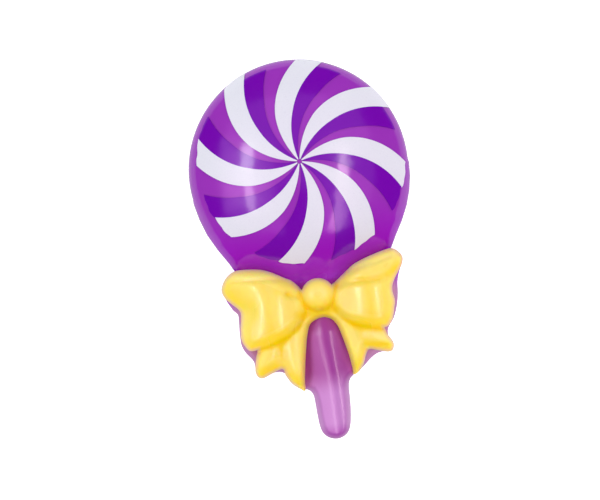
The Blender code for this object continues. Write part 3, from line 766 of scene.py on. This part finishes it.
def bow_height(places):
    """The shown face of the bow: loops over the tails, and the knot over both."""
    folds = along_lines(places, FOLDS)
    crest = []
    for edge, middle, puff in zip(loop_edges, LOOP_MIDDLES, LOOP_PUFFS):
        rise, half_width, half_length = puff
        off = (places - middle) / (half_width, half_length)
        swell = rise * np.exp(-np.sum(off**2, axis=1) / 2.0)
        loop = puffed(depth_inside(places, edge), LOOP_SIDE, *LOOP_ROUND, SOFT_POWER)
        crest.append(loop + swell + folds)
    tail_depth = depth_inside(places, tails_edge)
    tails = puffed(tail_depth, TAIL_SIDE, *TAIL_ROUND, SOFT_POWER)
    tails = tails + puffed(tail_depth, 0.0, *TAIL_CROWN, ROUND_POWER)
    crest.append(tails + folds)
    out = np.clip(np.hypot(*((places - KNOT_MIDDLE) / KNOT_HALF).T), 0.0, KNOT_FULL)
    knot = KNOT_SIDE + KNOT_CROWN * (1.0 - (out**2 + out**6) / 2.0)
    return soft_highest([*crest, knot], BOW_SOFTNESS)


bow_edges = [*loop_edges, tails_edge, knot_edge]
bow = moulded(
    "bow_casting",
    bow_edges,
    bow_height,
    BOW_BACK,
    net_points(bow_edges, bow_edges, BOW_EDGE_RINGS, (), BOW_FINE),
)


def keep_on_points(name, values):
    """Keeps a value for each point of the bow, for its material."""
    layer = bow.data.attributes.new(name, "FLOAT", "POINT")
    layer.data.foreach_set("value", values)


points = np.array([vertex.co for vertex in bow.data.vertices])
on_back = points[:, 2] < (BOW_BACK + BACK_MARGIN) * MM
places = points[:, :2] / MM - (0.0, DISC_MIDDLE)
height = bow_height(places)
# Painted shade for the bow's colour: gold in the hollows and on slopes that face down the
# picture, away from the light, with the listed bands of painted shade and painted light
around = [bow_height(places + CREASE_REACH * way) for way in circle(1.0, 0.8)]
hollow = np.clip((np.mean(around, axis=0) - height) / CREASE_FULL, 0.0, 1.0)
up = np.array((0.0, SLOPE_SPAN / 2))
slope = (bow_height(places + up) - bow_height(places - up)) / SLOPE_SPAN
painted_shading = hollow + TURNED_SHARE * np.clip(slope / TURNED_FULL, 0.0, 1.0)
keep_on_points("painted_shading", np.clip(painted_shading + along_lines(places, PAINTED_SHADING_BANDS), -1.0, 1.0))
depth = np.max([depth_inside(places, edge) for edge in bow_edges], axis=0)
matt = smooth_step(depth, EDGE_MATT[1], EDGE_MATT[0]) + along_lines(places, MATT)
keep_on_points("edge", np.clip(matt, 0.0, 1.0))
# Painted shade along the bow's edge, standing in for the shade of its side wall; there is less of
# it beside the knot and beside the stick
from_side = np.abs(places[:, 0])
from_knot = np.abs(places[:, 1] - RIM_KNOT_MIDDLE)
beside_knot = smooth_step(from_side, *RIM_KNOT_SIDE) * smooth_step(from_knot, *RIM_KNOT_END)
beside_stick = smooth_step(from_side, *RIM_STICK_SIDE)
beside_stick = beside_stick * smooth_step(places[:, 1], *RIM_STICK_END)
painted_rim_shade = np.where(on_back, 0.0, np.clip(1.0 - depth / RIM_WIDTH, 0.0, 1.0))
keep_on_points("painted_rim_shade", (1.0 - beside_knot) * (1.0 - RIM_STICK_LOSS * beside_stick) * painted_rim_shade)
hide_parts("bow")
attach(bow, "root")

YELLOW_LUMP_SIZE = 1.5 * MM
YELLOW_GRAIN_SIZE = 0.2 * MM
YELLOW_GRAIN_RISE = 0.05 * MM
YELLOW = (1.0, 0.71, 0.105, 1.0)
YELLOW_PALE = (1.0, 0.76, 0.14, 1.0)
# The palest yellow is painted light, the gold is painted shade, and the rim colour is the painted
# shade at the bow's edge
YELLOW_PAINTED_LIGHT = (1.0, 0.79, 0.30, 1.0)
GOLD_PAINTED_SHADE = (1.0, 0.66, 0.0, 1.0)
RIM_PAINTED_SHADE = (0.70, 0.47, 0.34, 1.0)
yellow, pattern, where, shader = finish(
    "yellow_resin",
    Roughness=0.24,
    Coat_Weight=0.5,
    Coat_Roughness=0.18,
    IOR=1.45,
    Subsurface_Weight=0.7,
    Subsurface_Radius=(1.5, 0.6, 0.1),
    Subsurface_Scale=MM,
)
lumps = pattern.noise(where, YELLOW_LUMP_SIZE, 2.0)
grain = pattern.noise(where, YELLOW_GRAIN_SIZE, 2.0)
painted_shading = pattern.node("ShaderNodeAttribute", {"attribute_name": "painted_shading"}, {}, "Fac")
edge = pattern.node("ShaderNodeAttribute", {"attribute_name": "edge"}, {}, "Fac")
painted_rim_shade = pattern.node("ShaderNodeAttribute", {"attribute_name": "painted_rim_shade"}, {}, "Fac")
# The bow's colour: random lumps of yellow, then painted shade in gold and painted light in pale
# yellow, then painted shade at the rim
body = (0.6 * lumps + 0.4 * grain).blend(YELLOW, YELLOW_PALE)
tinted = (0.0 - painted_shading).blend(painted_shading.blend(body, GOLD_PAINTED_SHADE), YELLOW_PAINTED_LIGHT)
feed(shader, "Base Color", painted_rim_shade.blend(tinted, RIM_PAINTED_SHADE))
feed(shader, "Roughness", 0.2 + 0.08 * lumps + 0.35 * edge)
feed(shader, "Coat Weight", (0.5 - 0.5 * painted_shading) * (1.0 - edge))
fine = {"Strength": 0.06, "Distance": YELLOW_GRAIN_RISE, "Height": grain}
feed(shader, "Normal", pattern.node("ShaderNodeBump", {}, fine))
bow.data.materials.append(yellow)

# ---------------------------------------------------------------------------
# The table: a plain white sheet that glows a little, as in the picture, so that no shadow lies
# on it. The gloss of the charm mirrors a second, darker sheet just below it instead.
TABLE_SIZE = 3.0
WHITE_SHEET_BELOW = 0.02 * MM
WHITE_SHEET_GLOW = 0.7
MIRRORED_SHEET_BELOW = 1.0 * MM
MIRRORED_SHEET_GLOW = 0.6


def sheet(name, below, finish_name, shade, glow):
    """A wide flat sheet below the charm, which gives off the light of its glow."""
    bpy.ops.object.select_all(action="DESELECT")
    bpy.ops.mesh.primitive_plane_add(size=TABLE_SIZE, location=(0.0, 0.0, -below))
    laid = bpy.context.object
    laid.name = name
    white = (1.0, 1.0, 1.0, 1.0)
    made, _, _, shader = finish(
        finish_name, Roughness=0.9, Base_Color=(shade, shade, shade, 1.0), Emission_Color=white
    )
    shader.inputs["Emission Strength"].default_value = glow
    laid.data.materials.append(made)
    return laid


table = sheet("table", WHITE_SHEET_BELOW, "table_white", 0.9, WHITE_SHEET_GLOW)
table.visible_glossy = False

mirrored_table = sheet(
    "mirrored_table", MIRRORED_SHEET_BELOW, "table_grey", 0.0, MIRRORED_SHEET_GLOW
)
mirrored_table.visible_camera = False
mirrored_table.visible_diffuse = False

# ---------------------------------------------------------------------------
# The lights and the camera. Tall soft boxes left and right make the two streaks on the dome,
# wide dim ones above and below light the colours evenly, and the walls and glows are seen in
# the gloss alone, as a haze. The camera looks straight down, and the charm leans to the left.
VIEW_TURN = math.radians(-8.3)
AIM = Vector((-1.007, 0.092, 1.0)) * MM
CAMERA_ABOVE = 0.4
SENSOR_WIDTH = 36.0
SEEN_WIDTH = 0.06
COOL = (0.9, 1.0, 0.97)
WORLD_GLOW = 0.55
MIRRORED_TINT = (1.0, 0.4, 1.15)
WALL_GLOW = 0.72
GLOW_TINT = (1.15, 0.62, 1.05)
GLOW_COUNT = 6
GLOW_STRENGTH = 0.26
GLOW_PLACE = (-0.26, -0.03, 0.31)
GLOW_DROP = 0.001
GLOW_LENGTH = 0.42
GLOW_SHRINK = 0.035
GLOW_NARROWER = 0.08


def soft_box(name, middle, length, width, glow, tint=(1.0, 1.0, 1.0), level=False):
    """An area light that faces the charm, its long side up the picture; places in metres."""
    turned = Matrix.Rotation(VIEW_TURN, 3, "Z")
    facing = Vector((0.0, 0.0, 1.0)) if level else Vector(middle).normalized()
    side = Vector((0.0, 1.0, 0.0)).cross(facing).normalized()
    up = facing.cross(side)
    bpy.ops.object.light_add(type="AREA", location=AIM + turned @ Vector(middle))
    lamp = bpy.context.object
    lamp.name = name
    lamp.data.shape = "RECTANGLE"
    lamp.data.size = width
    lamp.data.size_y = length
    lamp.data.color = tint
    lamp.data.energy = glow * math.pi * length * width
    lamp.rotation_euler = (turned @ Matrix((side, up, facing)).transposed()).to_euler()
    lamp.visible_camera = False
    return lamp


soft_box("left_box_upper", (-0.237, 0.06, 0.3), length=0.15, width=0.062, glow=6.6)
soft_box(
    "left_box_lower",
    (-0.23, -0.105, 0.3),
    length=0.19,
    width=0.045,
    glow=5.0,
    tint=(1.1, 0.92, 1.0),
)
soft_box(
    "right_box_upper",
    (0.193, 0.035, 0.3),
    length=0.17,
    width=0.045,
    glow=6.8,
    tint=(1.3, 1.02, 1.08),
)
soft_box(
    "right_box_lower",
    (0.193, -0.165, 0.3),
    length=0.24,
    width=0.055,
    glow=3.8,
    tint=(1.25, 0.75, 1.0),
)

even_light = [
    soft_box("sky_box", (0.0, 0.25, 0.42), length=0.7, width=1.0, glow=0.43, tint=COOL),
    soft_box("low_box", (0.0, -0.35, 0.26), length=0.4, width=0.8, glow=0.21, tint=COOL),
]
for lamp in even_light:
    lamp.visible_glossy = False

walls = [
    ("left_wall", (-0.2925, 0.072, 0.3), 0.816, 0.435),
    ("right_wall", (0.243, 0.072, 0.3), 0.816, 0.414),
    ("far_wall", (-0.0195, 0.21, 0.3), 0.54, 0.111),
]
haze = [
    soft_box(name, middle, length, width, WALL_GLOW, MIRRORED_TINT, level=True)
    for name, middle, length, width in walls
]
for step in range(GLOW_COUNT):
    spot = (GLOW_PLACE[0], GLOW_PLACE[1], GLOW_PLACE[2] - GLOW_DROP * step)
    length = GLOW_LENGTH - GLOW_SHRINK * step
    width = length - GLOW_NARROWER
    haze.append(soft_box(f"left_glow_{step + 1}", spot, length, width, GLOW_STRENGTH, GLOW_TINT))
for lamp in haze:
    lamp.visible_diffuse = False

world = bpy.data.worlds.new("studio")
bpy.context.scene.world = world
world.use_nodes = True
sky = world.node_tree.nodes["Background"]
sky.inputs["Color"].default_value = (*COOL, 1.0)
sky.inputs["Strength"].default_value = WORLD_GLOW
world.cycles_visibility.glossy = False

bpy.ops.object.camera_add(location=AIM + Vector((0.0, 0.0, CAMERA_ABOVE)))
camera = bpy.context.object
camera.rotation_euler = (0.0, 0.0, VIEW_TURN)
camera.data.sensor_width = SENSOR_WIDTH
camera.data.lens = SENSOR_WIDTH * CAMERA_ABOVE / SEEN_WIDTH
camera.data.clip_start = 0.01
camera.data.clip_end = 10.0
bpy.context.scene.camera = camera
bpy.context.scene.view_settings.view_transform = "Standard"
